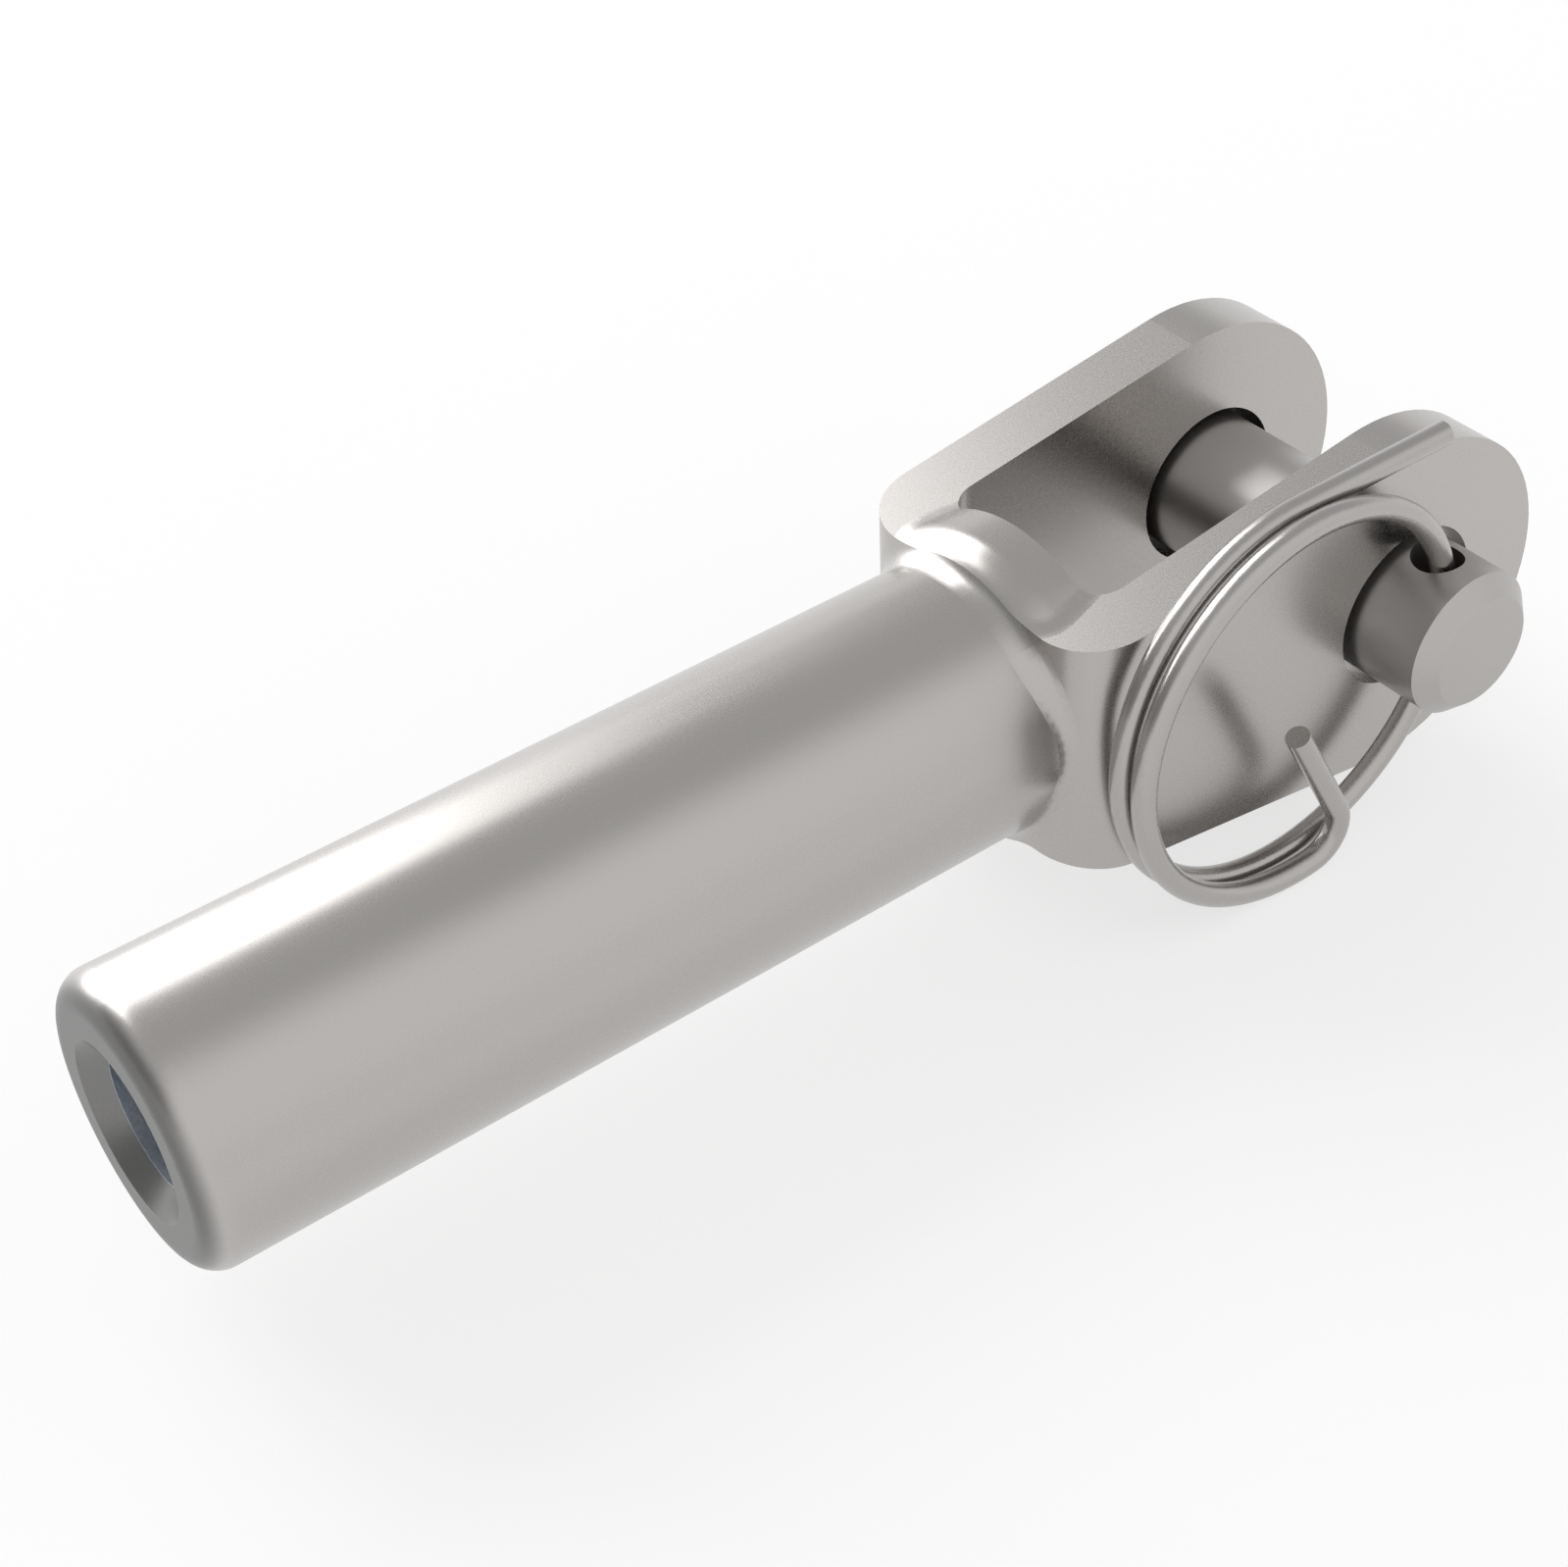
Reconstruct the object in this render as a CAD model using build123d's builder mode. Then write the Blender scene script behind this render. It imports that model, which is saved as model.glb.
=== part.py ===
from build123d import *
from math import acos, cos, radians, sin, sqrt, tan
import os

os.makedirs("parts", exist_ok=True)

# Swage fork terminal for 8 mm wire rope, in millimetres.
# X runs along the barrel from its mouth to the jaw, Y along the clevis pin, Z up.
# The origin is on the pin's axis, midway between the two cheeks.

# Barrel, pressed onto the rope's end
barrel_diameter = 18.0
mouth_distance = 85.5       # pin axis to the open end
mouth_fillet = 1.85
bore_diameter = 8.4
bore_depth = 56.0
drill_angle = 118.0         # cone that the drill leaves at the bore's end, in degrees
countersink_diameter = 11.0
countersink_angle = 90.0

# Jaw: two cheeks and the bridge that joins them
jaw_gap = 14.0
cheek_thickness = 4.1
jaw_depth = 23.3            # pin axis to the floor of the slot
bridge_thickness = 4.1
slot_corner_radius = 2.2
back_corner_radius = 4.3
eye_radius = 12.0
eye_setback = 0.6           # the eye's centre lies this far behind the pin's axis
cheek_taper = 8.25          # slope of each long edge of a cheek, in degrees
pin_bore_diameter = 11.3

# Neck: a dome over the bridge that runs out into the barrel
dome_height = 1.87          # above the flats of the jaw at the floor of the slot
neck_fillet = 1.6           # hollow between the barrel and the back of the jaw
dome_round = 2.65           # back edge of the dome
dome_seam_fillet = 2.4      # between the dome and the flats of the jaw
dome_ridge = 0.03           # the round edge stands proud of the hollow by this much

# Clevis pin
pin_diameter = 10.0
pin_overhang = 6.4          # beyond the near cheek
pin_chamfer = 1.2
head_diameter = 15.0
head_thickness = 3.0
head_chamfer = 0.6
head_play = 0.3             # between the head and the far cheek
cross_hole_diameter = 3.4
cross_hole_offset = 2.0     # centre of the hole beyond the near cheek

# Split ring, coiled from spring wire
wire_diameter = 1.6
ring_radius = 13.2          # to the middle of the wire
turn_gap = 0.3              # between neighbouring turns
cheek_play = 0.25           # between the wire's first end and the near cheek
ring_rise = 0.3             # the ring's centre lies this far above the pin's axis
lead_length = 12.9          # straight end, which leaves the coil at its top
coil_angle = 547.0          # from the top of the ring to the hook, in degrees
hook_bend_radius = 2.4
hook_turn = 111.0           # the hook turns inward by this angle, in degrees
hook_length = 9.0

# Worked out from the sizes above
barrel_radius = barrel_diameter / 2
pin_radius = pin_diameter / 2
jaw_width = jaw_gap + 2 * cheek_thickness
cheek_face = jaw_width / 2
slot_floor = -jaw_depth
jaw_back = slot_floor - bridge_thickness
eye_center = -eye_setback
eye_tip = eye_center + eye_radius

# Each cheek's straight edges touch the circle of its eye
taper = radians(cheek_taper)
touch_x = eye_center - eye_radius * sin(taper)
touch_z = eye_radius * cos(taper)


def flat_height(x):
    """Height of the jaw's sloping flat above the middle plane."""
    return touch_z - (touch_x - x) * tan(taper)


# The neck's section is a hollow arc that a round one crosses where both slope nearly alike
dome_radius = flat_height(slot_floor) + dome_height
dome_rise = dome_radius - barrel_radius
dome_front = slot_floor + slot_corner_radius
blend_angle = acos(1 - (dome_rise - dome_ridge) / (neck_fillet + dome_round))
meeting_x = jaw_back - neck_fillet + neck_fillet * sin(blend_angle)
round_center = meeting_x + dome_round * sin(blend_angle)
stock_height = 2 * (eye_radius + dome_radius)


def on_junction(edge):
    """Tells whether an edge runs where the barrel meets the back of the jaw."""
    spot = edge.position_at(0.5)
    return abs(sqrt(spot.Y**2 + spot.Z**2) - barrel_radius) < 0.01 and spot.X > jaw_back - 1


# Space over both flats that leaves the dome standing, with its back edge rounded.
# It is cut off where the hollow begins, so the barrel behind it stays whole.
with BuildPart() as dome_surround:
    surround_back = round_center - 2 * (dome_round + dome_seam_fillet)
    with BuildSketch(Plane.XZ):
        Polygon(
            (surround_back, flat_height(surround_back)),
            (dome_front, flat_height(dome_front)),
            (dome_front, stock_height),
            (surround_back, stock_height),
            align=None,
        )
    extrude(amount=jaw_width, both=True)
    with BuildSketch(Plane.XZ):
        with BuildLine():
            dome_back = round_center - dome_round
            Line((dome_front, 0), (dome_back, 0))
            Line((dome_back, 0), (dome_back, dome_radius - dome_round))
            CenterArc(
                center=(round_center, dome_radius - dome_round),
                radius=dome_round,
                start_angle=180,
                arc_size=-90,
            )
            Line((round_center, dome_radius), (dome_front, dome_radius))
            Line((dome_front, dome_radius), (dome_front, 0))
        make_face()
    revolve(axis=Axis.X, mode=Mode.SUBTRACT)
    # The dome is round about X and the flats slope, so they meet in ellipses
    fillet(dome_surround.edges().filter_by(GeomType.ELLIPSE), dome_seam_fillet)
    split(bisect_by=Plane.YZ.offset(meeting_x), keep=Keep.TOP)
    mirror(about=Plane.XY)

# Envelope: the cheeks seen from the side, and room for all that lies behind them
with BuildPart() as envelope:
    with BuildSketch(Plane.XZ):
        with BuildLine():
            Line((dome_front, flat_height(dome_front)), (touch_x, touch_z))
            ThreePointArc((touch_x, touch_z), (eye_tip, 0), (touch_x, -touch_z))
            Line((touch_x, -touch_z), (dome_front, -flat_height(dome_front)))
            Line((dome_front, -flat_height(dome_front)), (dome_front, flat_height(dome_front)))
        make_face()
    extrude(amount=jaw_width, both=True)
    with Locations((dome_front, 0, 0)):
        back_room = (mouth_distance, 2 * jaw_width, stock_height)
        Box(*back_room, align=(Align.MAX, Align.CENTER, Align.CENTER))

# Fork: barrel, neck and jaw in one piece
with BuildPart() as fork_terminal:
    jaw_length = eye_tip - jaw_back
    with BuildSketch(Plane.XY.offset(-stock_height / 2)) as jaw_outline:
        with Locations((jaw_back + jaw_length / 2, 0)):
            Rectangle(jaw_length, jaw_width)
        fillet(jaw_outline.vertices().group_by(Axis.X)[0], back_corner_radius)
    extrude(amount=stock_height)
    with BuildSketch(Plane.YZ.offset(-mouth_distance)):
        Circle(barrel_radius)
    extrude(amount=mouth_distance + slot_floor - bridge_thickness / 2)
    fillet(fork_terminal.edges().filter_by(on_junction), neck_fillet)
    add(envelope.part, mode=Mode.INTERSECT)
    add(dome_surround.part, mode=Mode.SUBTRACT)
    mouth_rim = fork_terminal.edges().filter_by(GeomType.CIRCLE).sort_by(Axis.X)[0]
    fillet(mouth_rim, mouth_fillet)

    # Slot between the cheeks, with rounded corners at its floor
    with BuildSketch(Plane.XY.offset(-stock_height / 2)) as slot_outline:
        with Locations((slot_floor, 0)):
            Rectangle(jaw_depth + 2 * eye_radius, jaw_gap, align=(Align.MIN, Align.CENTER))
        fillet(slot_outline.vertices().group_by(Axis.X)[0], slot_corner_radius)
    extrude(amount=stock_height, mode=Mode.SUBTRACT)

    # Bores for the clevis pin
    with BuildSketch(Plane.XZ):
        Circle(pin_bore_diameter / 2)
    extrude(amount=jaw_width, both=True, mode=Mode.SUBTRACT)

    # Blind bore for the rope, with a countersink at the mouth and a drill's cone at its end
    with BuildSketch(Plane.XZ):
        with BuildLine():
            mouth_x = -mouth_distance
            bore_end = mouth_x + bore_depth
            bore_radius = bore_diameter / 2
            rim_radius = countersink_diameter / 2
            rim_depth = (rim_radius - bore_radius) / tan(radians(countersink_angle / 2))
            tip_depth = bore_radius / tan(radians(drill_angle / 2))
            Polyline(
                (mouth_x, 0),
                (mouth_x, rim_radius),
                (mouth_x + rim_depth, bore_radius),
                (bore_end, bore_radius),
                (bore_end + tip_depth, 0),
                close=True,
            )
        make_face()
    revolve(axis=Axis.X, mode=Mode.SUBTRACT)

fork_terminal.part.label = "fork_terminal"
export_step(fork_terminal.part, "parts/fork_terminal.step")

# Clevis pin: its head is behind the far cheek, its drilled end beyond the near one
with BuildPart() as clevis_pin:
    head_seat = cheek_face + head_play
    pin_end = -cheek_face - pin_overhang
    with BuildSketch(Plane.XZ.offset(-head_seat)):
        Circle(pin_radius)
    extrude(amount=head_seat - pin_end)
    with BuildSketch(Plane.XZ.offset(-head_seat)):
        Circle(head_diameter / 2)
    extrude(amount=-head_thickness)
    chamfer(clevis_pin.faces().sort_by(Axis.Y)[0].edges(), pin_chamfer)
    chamfer(clevis_pin.faces().sort_by(Axis.Y)[-1].edges(), head_chamfer)
    hole_y = -cheek_face - cross_hole_offset
    with BuildSketch(Plane.XY.offset(-pin_diameter)):
        with Locations((0, hole_y)):
            Circle(cross_hole_diameter / 2)
    extrude(amount=2 * pin_diameter, mode=Mode.SUBTRACT)

clevis_pin.part.label = "clevis_pin"
export_step(clevis_pin.part, "parts/clevis_pin.step")

# Split ring: one length of wire, from its straight end round the coil to its hook.
# It is coiled about Z here, with its straight end at the far +X side, and set in place after.
with BuildPart() as coiled_wire:
    pitch = wire_diameter + turn_gap
    with BuildLine() as wire_path:
        coil = Helix(pitch, pitch * coil_angle / 360, ring_radius)
        lead = Line((ring_radius, -lead_length, 0), (ring_radius, 0, 0))
    to_axis = Vector(-(coil @ 1).X, -(coil @ 1).Y, 0)
    hook_plane = Plane(origin=coil @ 1, x_dir=coil % 1, z_dir=(coil % 1).cross(to_axis))
    with BuildLine(hook_plane) as hook_path:
        bend = JernArc((0, 0), (1, 0), hook_bend_radius, hook_turn)
        PolarLine(bend @ 1, hook_length, hook_turn)
    with BuildSketch(Plane(origin=lead @ 0, z_dir=lead % 0)):
        Circle(wire_diameter / 2)
    sweep(path=Wire(wire_path.edges() + hook_path.edges()))

# The coil threads the cross hole, so its centre is set by the bow of the wire inside the hole
with BuildPart() as split_ring:
    bow = ring_radius - sqrt(ring_radius**2 - pin_radius**2)
    first_turn_y = -cheek_face - cheek_play - wire_diameter / 2
    ring_frame = Plane(
        origin=(bow / 2 - ring_radius, first_turn_y, ring_rise),
        x_dir=(0, 0, 1),
        z_dir=(0, -1, 0),
    )
    with Locations(ring_frame):
        add(coiled_wire.part)

split_ring.part.label = "split_ring"
export_step(split_ring.part, "parts/split_ring.step")
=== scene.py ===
import logging
import math
from dataclasses import dataclass, replace
from enum import Enum

import bmesh
import bpy
from mathutils import Matrix, Vector


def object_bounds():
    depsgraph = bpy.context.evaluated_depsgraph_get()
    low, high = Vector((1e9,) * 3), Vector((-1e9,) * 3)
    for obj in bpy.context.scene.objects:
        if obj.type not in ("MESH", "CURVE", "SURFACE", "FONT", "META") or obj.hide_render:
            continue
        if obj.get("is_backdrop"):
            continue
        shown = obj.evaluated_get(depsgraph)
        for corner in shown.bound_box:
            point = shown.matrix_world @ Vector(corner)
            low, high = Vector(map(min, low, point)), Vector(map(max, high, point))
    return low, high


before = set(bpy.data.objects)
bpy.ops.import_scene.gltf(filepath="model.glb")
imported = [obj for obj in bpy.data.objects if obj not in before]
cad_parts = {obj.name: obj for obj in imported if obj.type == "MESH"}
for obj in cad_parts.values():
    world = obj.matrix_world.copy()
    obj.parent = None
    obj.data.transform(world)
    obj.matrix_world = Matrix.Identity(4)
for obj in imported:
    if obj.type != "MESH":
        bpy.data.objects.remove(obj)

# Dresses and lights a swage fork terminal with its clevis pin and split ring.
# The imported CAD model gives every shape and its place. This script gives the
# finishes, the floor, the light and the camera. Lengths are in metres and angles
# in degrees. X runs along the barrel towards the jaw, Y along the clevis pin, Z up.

log = logging.getLogger("swage_fork")

Colour = tuple[float, float, float, float]
Waves = tuple[float, float, float]
Span = tuple[float, float]
Socket = bpy.types.NodeSocket

# Waves to the metre of the grain, along each axis of the place that it follows.
# Round an axis, these are the distance from it, the place along it and the arc.
BLASTED_GRAIN: Waves = (5200.0, 5200.0, 5200.0)
BORED_GRAIN: Waves = (5200.0, 5200.0, 3640.0)
TURNED_GRAIN: Waves = (7000.0, 7000.0, 840.0)
DRAWN_GRAIN: Waves = (7500.0, 7500.0, 300.0)
CLOUDS: Waves = (70.0, 70.0, 70.0)


class Surface(Enum):
    """How the steel was finished."""

    SATIN = "forged, turned and blasted to a fine satin"
    MILLED = "milled flats, a little coarser"
    # Painted shade: the mouth face's colour is far darker than the satin steel.
    FACED_PAINTED_SHADE = "mouth faced on the lathe"
    # Painted shade: the countersink's colour is much darker than the satin steel, though lighter
    # than the face.
    COUNTERSUNK_PAINTED_SHADE = "countersink, brighter than the face round it"
    # Painted light: the bore's colour is lighter and bluer than the steel.
    DRILLED_PAINTED_LIGHT = "bore drilled, and dull inside"
    TURNED = "turned bar, lightly polished"
    DRAWN = "spring wire, drawn and coiled"


@dataclass(frozen=True)
class SteelFinish:
    """One finish of stainless steel: its colours, its polish and how deep its grain is."""

    surface: Surface
    light: Colour
    dark: Colour
    roughness: Span
    grain_depth: float


SATIN = SteelFinish(
    surface=Surface.SATIN,
    light=(0.486, 0.468, 0.454, 1.0),
    dark=(0.466, 0.449, 0.436, 1.0),
    roughness=(0.24, 0.31),
    grain_depth=0.00000006,
)
MILLED = replace(SATIN, surface=Surface.MILLED, grain_depth=0.0000006)
# Painted shade: the mouth face is coloured about a third as bright as the satin steel, standing
# in for a darker reflection there.
FACED_PAINTED_SHADE = SteelFinish(
    surface=Surface.FACED_PAINTED_SHADE,
    light=(0.176, 0.175, 0.173, 1.0),
    dark=(0.128, 0.127, 0.125, 1.0),
    roughness=(0.30, 0.40),
    grain_depth=0.0000020,
)
# Painted shade: the countersink is coloured much darker than the satin steel, standing in for a
# darker reflection there.
COUNTERSUNK_PAINTED_SHADE = SteelFinish(
    surface=Surface.COUNTERSUNK_PAINTED_SHADE,
    light=(0.232, 0.230, 0.226, 1.0),
    dark=(0.172, 0.171, 0.168, 1.0),
    roughness=(0.30, 0.40),
    grain_depth=0.0000020,
)
# Painted light: the bore is coloured lighter and bluer than the steel, standing in for light and
# reflection inside the deep hole.
DRILLED_PAINTED_LIGHT = SteelFinish(
    surface=Surface.DRILLED_PAINTED_LIGHT,
    light=(0.66, 0.72, 0.79, 1.0),
    dark=(0.22, 0.25, 0.29, 1.0),
    roughness=(0.40, 0.62),
    grain_depth=0.0000120,
)
TURNED = SteelFinish(
    surface=Surface.TURNED,
    light=(0.490, 0.473, 0.460, 1.0),
    dark=(0.450, 0.434, 0.422, 1.0),
    roughness=(0.34, 0.42),
    grain_depth=0.0000010,
)
DRAWN = SteelFinish(
    surface=Surface.DRAWN,
    light=(0.470, 0.453, 0.440, 1.0),
    dark=(0.420, 0.405, 0.393, 1.0),
    roughness=(0.24, 0.31),
    grain_depth=0.0000007,
)


@dataclass(frozen=True)
class Coat:
    """A finish once it stands in a node tree."""

    colour: Socket
    roughness: Socket
    height: Socket


class NodeGraph:
    """The nodes of a material or of the world, with short ways to add to them."""

    def __init__(self, owner: bpy.types.Material | bpy.types.World) -> None:
        """Starts with no nodes.

        Args:
            owner: the material or the world that the nodes belong to.
        """
        owner.use_nodes = True
        self.tree = owner.node_tree
        self.tree.nodes.clear()

    def add(self, kind: str) -> bpy.types.Node:
        """Adds a node of a kind."""
        return self.tree.nodes.new(kind)

    def join(self, source: Socket, target: Socket) -> None:
        """Joins an output of a node to an input of another."""
        self.tree.links.new(source, target)

    def split(self, vector: Socket) -> tuple[Socket, Socket, Socket]:
        """Splits a vector.

        Args:
            vector: the socket that holds it.

        Returns:
            The sockets that hold its X, Y and Z.
        """
        node = self.add("ShaderNodeSeparateXYZ")
        self.join(vector, node.inputs["Vector"])
        return node.outputs["X"], node.outputs["Y"], node.outputs["Z"]

    def reckon(self, operation: str, first: Socket, second: Socket | float) -> Socket:
        """Works out one value from two.

        Args:
            operation: the name of the Math node's operation.
            first: the socket that is read first.
            second: the other socket, or a plain number.

        Returns:
            The socket that holds the result.
        """
        node = self.add("ShaderNodeMath")
        node.operation = operation
        self.join(first, node.inputs[0])
        if isinstance(second, float):
            node.inputs[1].default_value = second
        else:
            self.join(second, node.inputs[1])
        return node.outputs["Value"]

    def product(self, first: Socket, *others: Socket | float) -> Socket:
        """Multiplies values.

        Args:
            first: the first socket.
            *others: sockets or plain numbers.

        Returns:
            The socket that holds their product.
        """
        for other in others:
            first = self.reckon("MULTIPLY", first, other)
        return first

    def step(self, value: Socket, low: float, high: float) -> Socket:
        """Adds a smooth step from 0 to 1.

        Args:
            value: the socket that is read.
            low: the value at which the step starts.
            high: the value at which it ends, which may be the smaller one.

        Returns:
            The socket that holds the step.
        """
        node = self.add("ShaderNodeMapRange")
        node.interpolation_type = "SMOOTHSTEP"
        node.inputs["From Min"].default_value = low
        node.inputs["From Max"].default_value = high
        self.join(value, node.inputs["Value"])
        return node.outputs["Result"]

    def mix(
        self,
        kind: str,
        share: Socket,
        first: Socket | Colour | float,
        second: Socket | Colour | float,
    ) -> Socket:
        """Mixes two colours, two places or two values.

        Args:
            kind: "RGBA" for colours, "VECTOR" for places, "FLOAT" for values.
            share: how much of the second one there is.
            first: a socket or a constant.
            second: a socket or a constant.

        Returns:
            The socket that holds the mix.
        """
        node = self.add("ShaderNodeMix")
        node.data_type = kind
        self.join(share, node.inputs["Factor"])
        ends = [end for end in node.inputs if end.enabled and end.name in ("A", "B")]
        for end, value in zip(ends, (first, second)):
            if isinstance(value, Socket):
                self.join(value, end)
            else:
                end.default_value = value
        return next(result for result in node.outputs if result.enabled)


class SteelGraph(NodeGraph):
    """The nodes of one steel material."""

    def __init__(self, name: str) -> None:
        """Starts a material that holds a metal and its output.

        Args:
            name: the material's name.
        """
        self.material = bpy.data.materials.new(name)
        super().__init__(self.material)
        self.metal = self.add("ShaderNodeBsdfPrincipled")
        self.metal.inputs["Metallic"].default_value = 1.0
        output = self.add("ShaderNodeOutputMaterial")
        self.join(self.metal.outputs["BSDF"], output.inputs["Surface"])
        self.place = self.add("ShaderNodeTexCoord").outputs["Object"]
        self.x, self.y, self.z = self.split(self.place)

    def about_axis(self, along: Socket, across: Socket, upward: Socket) -> tuple[Socket, Socket]:
        """Turns a place into cylinder coordinates about an axis.

        Args:
            along: the coordinate along the axis.
            across: one coordinate across it.
            upward: the other one.

        Returns:
            The distance from the axis, and a vector of that distance, the place
            along the axis and the length of the arc round it.
        """
        squares = self.reckon("ADD", self.product(across, across), self.product(upward, upward))
        distance = self.reckon("SQRT", squares, 0.0)
        arc = self.product(self.reckon("ARCTAN2", upward, across), distance)
        vector = self.add("ShaderNodeCombineXYZ")
        for end, value in zip(vector.inputs, (distance, along, arc)):
            self.join(value, end)
        return distance, vector.outputs["Vector"]

    def spread(self, place: Socket, waves: Waves) -> Socket:
        """Stretches a place, so that a noise read there has so many waves to the metre.

        Args:
            place: the socket that holds the place.
            waves: how many waves there are along each axis.

        Returns:
            The socket that holds the stretched place.
        """
        node = self.add("ShaderNodeMapping")
        node.inputs["Scale"].default_value = waves
        self.join(place, node.inputs["Vector"])
        return node.outputs["Vector"]

    def noise(self, place: Socket, detail: float = 2.0) -> Socket:
        """Adds a noise with one wave to the unit.

        Args:
            place: the place that it is read at.
            detail: how many finer waves are laid over it.

        Returns:
            The socket that holds the noise, from 0 to 1.
        """
        node = self.add("ShaderNodeTexNoise")
        node.inputs["Scale"].default_value = 1.0
        node.inputs["Detail"].default_value = detail
        self.join(place, node.inputs["Vector"])
        return node.outputs["Fac"]

    def coats(self, grain: Socket, finishes: tuple[SteelFinish, ...]) -> list[Coat]:
        """Adds the finishes of a piece.

        Args:
            grain: the grain that they share.
            finishes: the finishes.

        Returns:
            The finishes as sockets, with their height in metres.
        """
        clouds = self.noise(self.spread(self.place, CLOUDS), 1.0)
        look = self.product(self.reckon("ADD", grain, clouds), 0.5)
        relief = self.reckon("SUBTRACT", grain, 0.5)
        return [
            Coat(
                colour=self.mix("RGBA", look, finish.dark, finish.light),
                roughness=self.mix("FLOAT", look, *finish.roughness),
                height=self.product(relief, finish.grain_depth),
            )
            for finish in finishes
        ]

    def lay(self, under: Coat, over: Coat, share: Socket) -> Coat:
        """Lays one finish over another.

        Args:
            under: the finish below.
            over: the finish above.
            share: where the one above shows, from 0 to 1.

        Returns:
            The two as one.
        """
        return Coat(
            colour=self.mix("RGBA", share, under.colour, over.colour),
            roughness=self.mix("FLOAT", share, under.roughness, over.roughness),
            height=self.mix("FLOAT", share, under.height, over.height),
        )

    def wear(self, coat: Coat) -> bpy.types.Material:
        """Gives the metal its finish.

        Args:
            coat: the finish.

        Returns:
            The finished material.
        """
        relief = self.add("ShaderNodeBump")
        relief.inputs["Distance"].default_value = 1.0
        self.join(coat.height, relief.inputs["Height"])
        self.join(coat.colour, self.metal.inputs["Base Color"])
        self.join(coat.roughness, self.metal.inputs["Roughness"])
        self.join(relief.outputs["Normal"], self.metal.inputs["Normal"])
        return self.material


@dataclass
class SteelPiece:
    """A piece whose shape comes from the CAD model and which gets its finishes here."""

    node: str
    finishes: tuple[SteelFinish, ...]

    def dress(self) -> bpy.types.Object:
        """Gives the CAD node its finishes.

        Returns:
            The node's object.
        """
        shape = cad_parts[self.node]
        steel = self.material()
        for place in shape.material_slots:
            place.material = steel
        return shape

    def material(self) -> bpy.types.Material:
        """Makes the piece's material."""
        raise NotImplementedError


@dataclass
class ForkTerminal(SteelPiece):
    """The fork: satin, milled flats, a faced mouth in painted shade, a dull bore in painted
    light.
    """

    node: str = "fork_terminal"
    finishes: tuple[SteelFinish, ...] = (SATIN, MILLED, FACED_PAINTED_SHADE, COUNTERSUNK_PAINTED_SHADE, DRILLED_PAINTED_LIGHT)
    flat_start: float = 0.012212
    flat_slope: float = 0.144993
    flat_edge: Span = (0.0003, 0.00005)
    mouth: float = -0.0855
    mouth_edge: float = 0.00111
    countersink_radius: float = 0.0055
    bore_radius: float = 0.0042
    bore_end: float = -0.0270
    bore_end_edge: float = 0.001
    rim_edge: Span = (0.00002, 0.000005)

    def material(self) -> bpy.types.Material:
        """Makes the fork's steel.

        Returns:
            The new material.
        """
        steel = SteelGraph("fork_steel_satin")
        distance, round_barrel = steel.about_axis(steel.x, steel.y, steel.z)
        face = steel.step(steel.x, self.mouth + self.mouth_edge, self.mouth)
        countersink = self.inside(steel, distance, self.countersink_radius)
        bore = self.inside(steel, distance, self.bore_radius)
        place = steel.mix(
            "VECTOR",
            steel.reckon("MAXIMUM", face, countersink),
            steel.spread(steel.place, BLASTED_GRAIN),
            steel.spread(round_barrel, BORED_GRAIN),
        )
        whole, *others = steel.coats(steel.noise(place), self.finishes)
        # These masks lay painted shade on the mouth face and countersink, and painted light in
        # the bore.
        shares = (self.on_flats(steel), face, countersink, bore)
        for coat, share in zip(others, shares):
            whole = steel.lay(whole, coat, share)
        return steel.wear(whole)

    def on_flats(self, steel: SteelGraph) -> Socket:
        """Tells where the sloping flats of the jaw are.

        Args:
            steel: the graph that the mask is added to.

        Returns:
            The socket that holds 1 on the flats and 0 elsewhere.
        """
        height = steel.reckon("ADD", steel.product(steel.x, self.flat_slope), self.flat_start)
        off = steel.reckon("SUBTRACT", steel.reckon("ABSOLUTE", steel.z, 0.0), height)
        return steel.step(steel.reckon("ABSOLUTE", off, 0.0), *self.flat_edge)

    def inside(self, steel: SteelGraph, distance: Socket, radius: float) -> Socket:
        """Tells where the rope's bore and its countersink lie within a radius.

        Args:
            steel: the graph that the mask is added to.
            distance: the distance from the barrel's axis.
            radius: the radius.

        Returns:
            The socket that holds 1 there and 0 elsewhere.
        """
        within = steel.step(distance, *(radius + edge for edge in self.rim_edge))
        behind = steel.step(steel.x, self.bore_end + self.bore_end_edge, self.bore_end)
        return steel.product(within, behind)


@dataclass
class ClevisPin(SteelPiece):
    """The clevis pin, with fine turning marks round its axis."""

    node: str = "clevis_pin"
    finishes: tuple[SteelFinish, ...] = (TURNED,)

    def material(self) -> bpy.types.Material:
        """Makes the pin's steel.

        Returns:
            The new material.
        """
        steel = SteelGraph("pin_steel_turned")
        _, round_pin = steel.about_axis(steel.y, steel.x, steel.z)
        grain = steel.noise(steel.spread(round_pin, TURNED_GRAIN))
        return steel.wear(*steel.coats(grain, self.finishes))


@dataclass
class SplitRing(SteelPiece):
    """The split ring, with fine drawing marks that follow its coil."""

    node: str = "split_ring"
    finishes: tuple[SteelFinish, ...] = (DRAWN,)
    centre_x: float = -0.012708
    centre_z: float = 0.0003

    def material(self) -> bpy.types.Material:
        """Makes the ring's steel.

        Returns:
            The new material.
        """
        steel = SteelGraph("ring_wire_drawn")
        across = steel.reckon("SUBTRACT", steel.x, self.centre_x)
        upward = steel.reckon("SUBTRACT", steel.z, self.centre_z)
        _, along_coil = steel.about_axis(steel.y, across, upward)
        grain = steel.noise(steel.spread(along_coil, DRAWN_GRAIN))
        return steel.wear(*steel.coats(grain, self.finishes))


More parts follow.
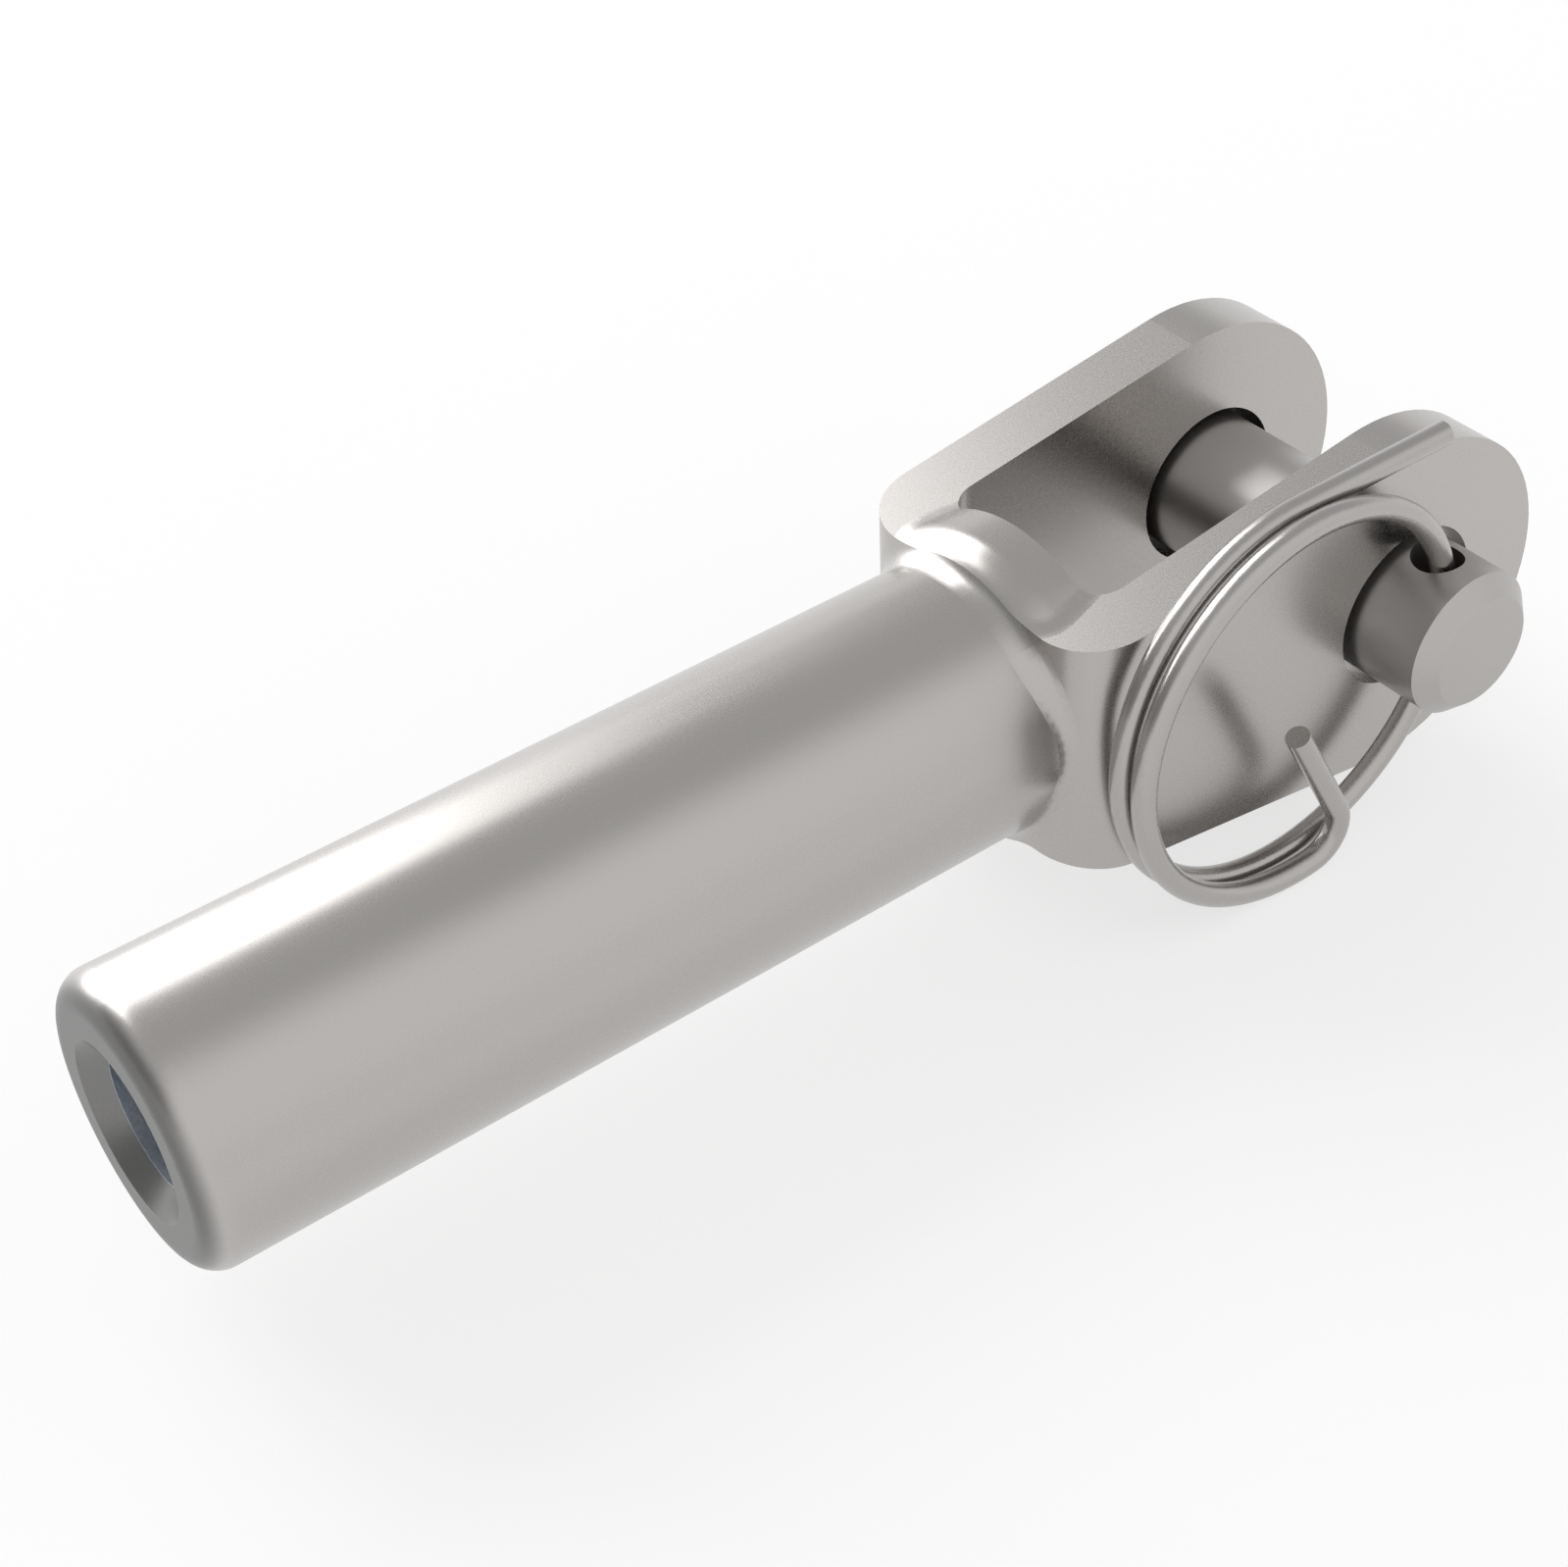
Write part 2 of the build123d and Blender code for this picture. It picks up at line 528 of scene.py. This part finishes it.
@dataclass(frozen=True)
class SoftBox:
    """A rectangular studio light, hung in a direction from the object and facing it."""

    name: str
    azimuth: float
    elevation: float
    distance: float
    spread: float
    rise: float
    brightness: float

    def build(self) -> bpy.types.Object:
        """Hangs the light.

        Returns:
            The light's object.
        """
        lamp = bpy.data.lights.new(self.name, "AREA")
        lamp.shape = "RECTANGLE"
        lamp.size = 2 * self.distance * math.tan(math.radians(self.spread / 2))
        lamp.size_y = 2 * self.distance * math.tan(math.radians(self.rise / 2))
        lamp.energy = self.brightness * math.pi * lamp.size * lamp.size_y
        made = bpy.data.objects.new(self.name, lamp)
        bpy.context.scene.collection.objects.link(made)
        turn, tilt = math.radians(self.azimuth), math.radians(self.elevation)
        outward = Vector(
            (math.sin(turn) * math.cos(tilt), math.cos(turn) * math.cos(tilt), math.sin(tilt))
        )
        made.location = outward * self.distance
        made.rotation_mode = "QUATERNION"
        made.rotation_quaternion = (-outward).to_track_quat("-Z", "Y")
        return made


@dataclass(frozen=True)
class Studio:
    """The pale floor, which curves up behind the object, and the sky over it."""

    floor_size: float = 12.0
    floor_play: float = 0.00002
    edge_play: float = 0.001
    backdrop_rise: float = 1.0
    backdrop_bend: float = 0.8
    bend_segments: int = 12
    floor_paint: float = 0.32
    floor_glow: float = 0.66
    sky_front: float = 1.0
    sky_back: float = 0.60
    sky_left: float = 0.33
    back_edge: Span = (-0.6, -0.1)
    back_foot: Span = (0.2, 0.45)
    left_edge: Span = (-0.40, -0.60)
    left_front: Span = (-0.35, -0.05)
    left_top: Span = (0.70, 0.35)

    def build_floor(self, lowest: float) -> bpy.types.Object:
        """Lays the floor just under the object and bends it up far behind.

        Args:
            lowest: height of the object's lowest point.

        Returns:
            The floor, which is marked as no part of the object.
        """
        bpy.ops.object.select_all(action="DESELECT")
        bpy.ops.mesh.primitive_plane_add(
            size=self.floor_size, location=(0, 0, lowest - self.floor_play)
        )
        floor = bpy.context.active_object
        floor.name = "floor"
        bpy.ops.object.transform_apply(location=True, rotation=False, scale=False)
        bpy.ops.object.mode_set(mode="EDIT")
        self.select_back_edge(floor)
        bpy.ops.mesh.extrude_region_move(
            TRANSFORM_OT_translate={"value": (0, 0, self.backdrop_rise)}
        )
        self.select_back_edge(floor, lowest)
        bpy.ops.mesh.bevel(
            offset=self.backdrop_bend, segments=self.bend_segments, affect="EDGES"
        )
        bpy.ops.mesh.select_all(action="SELECT")
        bpy.ops.mesh.faces_shade_smooth()
        bpy.ops.object.mode_set(mode="OBJECT")
        floor.data.materials.append(self.white_paint())
        floor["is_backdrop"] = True
        return floor

    def select_back_edge(self, floor: bpy.types.Object, highest: float = math.inf) -> None:
        """Selects the floor's edge that runs along its back.

        Args:
            floor: the floor, in edit mode.
            highest: edges above this height are left out.
        """
        bpy.ops.mesh.select_mode(type="EDGE")
        bpy.ops.mesh.select_all(action="DESELECT")
        mesh = bmesh.from_edit_mesh(floor.data)
        back = self.floor_size / 2 - self.edge_play
        for edge in mesh.edges:
            edge.select_set(all(end.co.y > back and end.co.z < highest for end in edge.verts))
        bmesh.update_edit_mesh(floor.data)

    def white_paint(self) -> bpy.types.Material:
        """Makes the floor's white paint, which glows where it is seen or mirrored.

        Returns:
            The new material.
        """
        made = bpy.data.materials.new("white_floor")
        graph = NodeGraph(made)
        paint = graph.add("ShaderNodeBsdfDiffuse")
        paint.inputs["Color"].default_value = (self.floor_paint,) * 3 + (1.0,)
        rays = graph.add("ShaderNodeLightPath").outputs
        seen = graph.reckon("MAXIMUM", rays["Is Camera Ray"], rays["Is Glossy Ray"])
        passed = graph.reckon("MAXIMUM", seen, rays["Is Transmission Ray"])
        glow = graph.add("ShaderNodeEmission")
        graph.join(graph.product(passed, self.floor_glow), glow.inputs["Strength"])
        both = graph.add("ShaderNodeAddShader")
        graph.join(paint.outputs["BSDF"], both.inputs[0])
        graph.join(glow.outputs["Emission"], both.inputs[1])
        output = graph.add("ShaderNodeOutputMaterial")
        graph.join(both.outputs["Shader"], output.inputs["Surface"])
        return made

    def build_sky(self) -> bpy.types.World:
        """Makes the light all round: white in front and low, greyer above the back and at left.

        Returns:
            The scene's world.
        """
        world = bpy.data.worlds.new("studio_sky")
        graph = NodeGraph(world)
        x, y, z = graph.split(graph.add("ShaderNodeTexCoord").outputs["Generated"])
        back = graph.product(graph.step(y, *self.back_edge), graph.step(z, *self.back_foot))
        left = graph.product(
            graph.step(x, *self.left_edge),
            graph.step(y, *self.left_front),
            graph.step(z, *self.left_top),
        )
        shade = graph.mix("FLOAT", back, self.sky_front, self.sky_back)
        sky = graph.add("ShaderNodeBackground")
        graph.join(graph.mix("FLOAT", left, shade, self.sky_left), sky.inputs["Color"])
        output = graph.add("ShaderNodeOutputWorld")
        graph.join(sky.outputs["Background"], output.inputs["Surface"])
        bpy.context.scene.world = world
        return world


@dataclass(frozen=True)
class PhotoCamera:
    """The camera that took the photograph, found from the edges seen in it."""

    azimuth: float = -35.6897
    elevation: float = 40.0465
    roll: float = -2.7356
    focal_pixels: float = 2907.48
    image_width: float = 1599.0
    image_height: float = 1598.0
    origin_column: float = 1306.648
    origin_row: float = 539.592
    origin_depth: float = 0.18916
    sensor_width: float = 36.0
    nearest: float = 0.001

    def build(self) -> bpy.types.Object:
        """Sets the camera up and makes it the scene's.

        Returns:
            The camera's object.
        """
        turn, tilt = math.radians(self.azimuth), math.radians(self.elevation)
        ahead = Vector(
            (-math.sin(turn) * math.cos(tilt), math.cos(turn) * math.cos(tilt), -math.sin(tilt))
        )
        level_right = ahead.cross(Vector((0, 0, 1))).normalized()
        level_up = level_right.cross(ahead)
        lean = math.radians(self.roll)
        right = math.cos(lean) * level_right + math.sin(lean) * level_up
        up = math.cos(lean) * level_up - math.sin(lean) * level_right

        column = (self.origin_column - self.image_width / 2) / self.focal_pixels
        row = (self.origin_row - self.image_height / 2) / self.focal_pixels
        to_origin = (column * right - row * up + ahead) * self.origin_depth

        lens = bpy.data.cameras.new("photo_camera")
        lens.sensor_width = self.sensor_width
        lens.lens = self.focal_pixels * self.sensor_width / self.image_width
        lens.clip_start = self.nearest
        made = bpy.data.objects.new("photo_camera", lens)
        bpy.context.scene.collection.objects.link(made)
        turned = Matrix((right, up, -ahead)).transposed().to_4x4()
        made.matrix_world = Matrix.Translation(-to_origin) @ turned
        bpy.context.scene.camera = made
        return made


def main() -> None:
    """Dresses the pieces, then sets up the studio and the camera."""
    logging.basicConfig(level=logging.INFO, format="%(name)s: %(message)s")
    cad_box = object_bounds()

    for piece in (ForkTerminal(), ClevisPin(), SplitRing()):
        shape = piece.dress()
        surfaces = "; ".join(finish.surface.value for finish in piece.finishes)
        log.info("%s: %d faces; %s", shape.name, len(shape.data.polygons), surfaces)

    studio = Studio()
    studio.build_floor(cad_box[0].z)
    studio.build_sky()
    SoftBox(
        name="back_light",
        azimuth=-7.5,
        elevation=27.0,
        distance=2.0,
        spread=51.0,
        rise=56.0,
        brightness=3.0,
    ).build()
    PhotoCamera().build()

    bpy.context.scene.view_settings.view_transform = "Standard"


if __name__ == "__main__":
    main()
